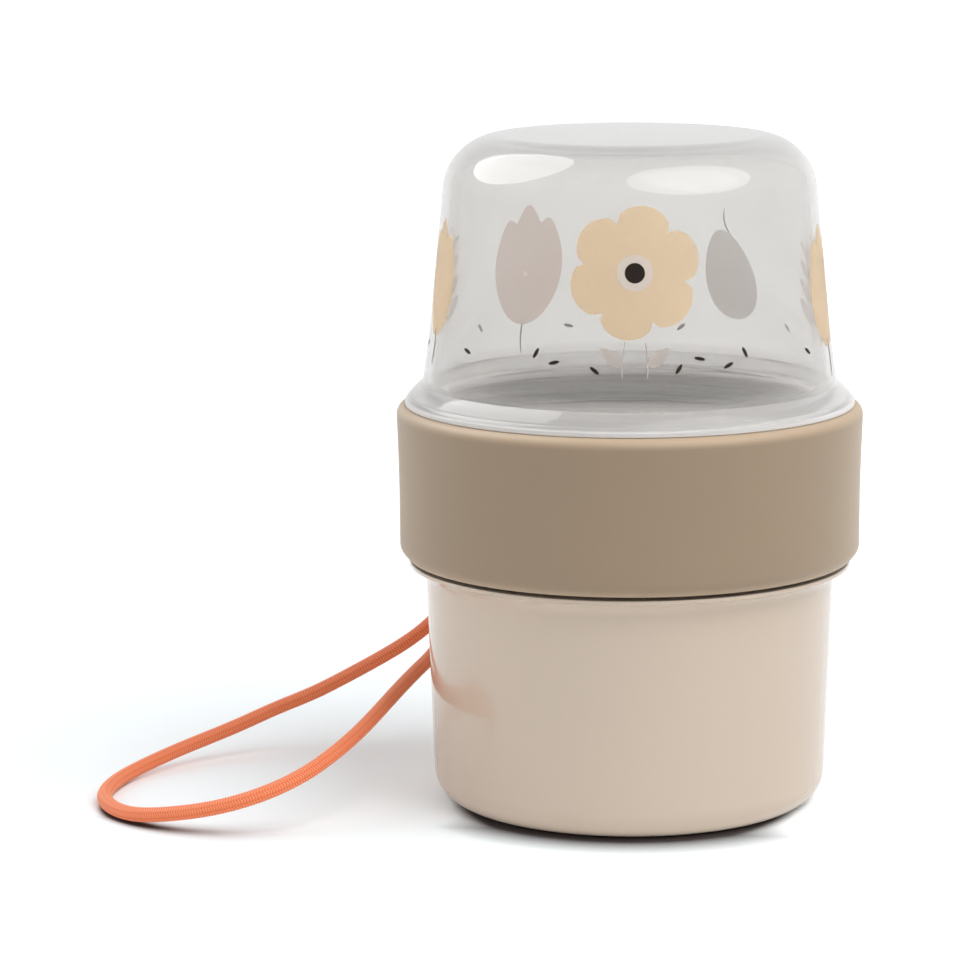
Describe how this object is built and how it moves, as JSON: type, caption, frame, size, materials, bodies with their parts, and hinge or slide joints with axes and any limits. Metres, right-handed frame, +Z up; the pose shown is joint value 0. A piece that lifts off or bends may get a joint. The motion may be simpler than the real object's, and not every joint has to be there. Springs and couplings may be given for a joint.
{
  "type": "toddler snack container",
  "caption": "Two-part screw snack container: moulded pot, two-way lid in a silicone grip band, upturned clear cup and a loop of woven elastic.",
  "frame": {"origin": "centre of the foot, on the surface that the pot stands on", "axes": "+Z up along the container's axis, -Y to the front; the elastic leaves the back of the band, to the left (-X)"},
  "size_m": [0.1537, 0.0964, 0.134],
  "materials": {
    "pot_plastic": "glossy moulded polypropylene, warm beige",
    "lid_plastic": "satin moulded polypropylene, milky white",
    "band_silicone": "matt silicone, taupe",
    "seal_silicone": "satin silicone, natural white",
    "cup_plastic": null,
    "woven_elastic": "woven elastic sheath, burnt orange",
    "ferrule_steel": "crimped stainless steel"
  },
  "bodies": {
    "pot": {"lower_pot": "pot_plastic"},
    "lower_gasket": {"pot_seal": "seal_silicone"},
    "lid": {"lid_ring": "lid_plastic", "grip_band": "band_silicone", "cord_loop": "woven_elastic", "cord_ends": "woven_elastic", "cord_ferrules": "ferrule_steel"},
    "upper_gasket": {"cup_seal": "seal_silicone"},
    "cup": {"clear_cup": "cup_plastic"}
  },
  "joints": [
    {"name": "lid_lift", "type": "slide", "parent": "pot", "child": "lower_gasket", "axis": [0, 0, 1], "range_m": [0, 0.024]},
    {"name": "lid_turn", "type": "hinge", "parent": "lower_gasket", "child": "lid", "pos_m": [0, 0, 0.0498], "axis": [0, 0, 1], "range_deg": [0, 720]},
    {"name": "cup_lift", "type": "slide", "parent": "lid", "child": "upper_gasket", "axis": [0, 0, 1], "range_m": [0, 0.0075]},
    {"name": "cup_turn", "type": "hinge", "parent": "upper_gasket", "child": "cup", "pos_m": [0, 0, 0.0807], "axis": [0, 0, 1], "range_deg": [0, 450]}
  ],
  "couplings": [
    {"joint": "lid_lift", "follows": "lid_turn", "m_per_rad": 0.0019099},
    {"joint": "cup_lift", "follows": "cup_turn", "m_per_rad": 0.00095493}
  ]
}
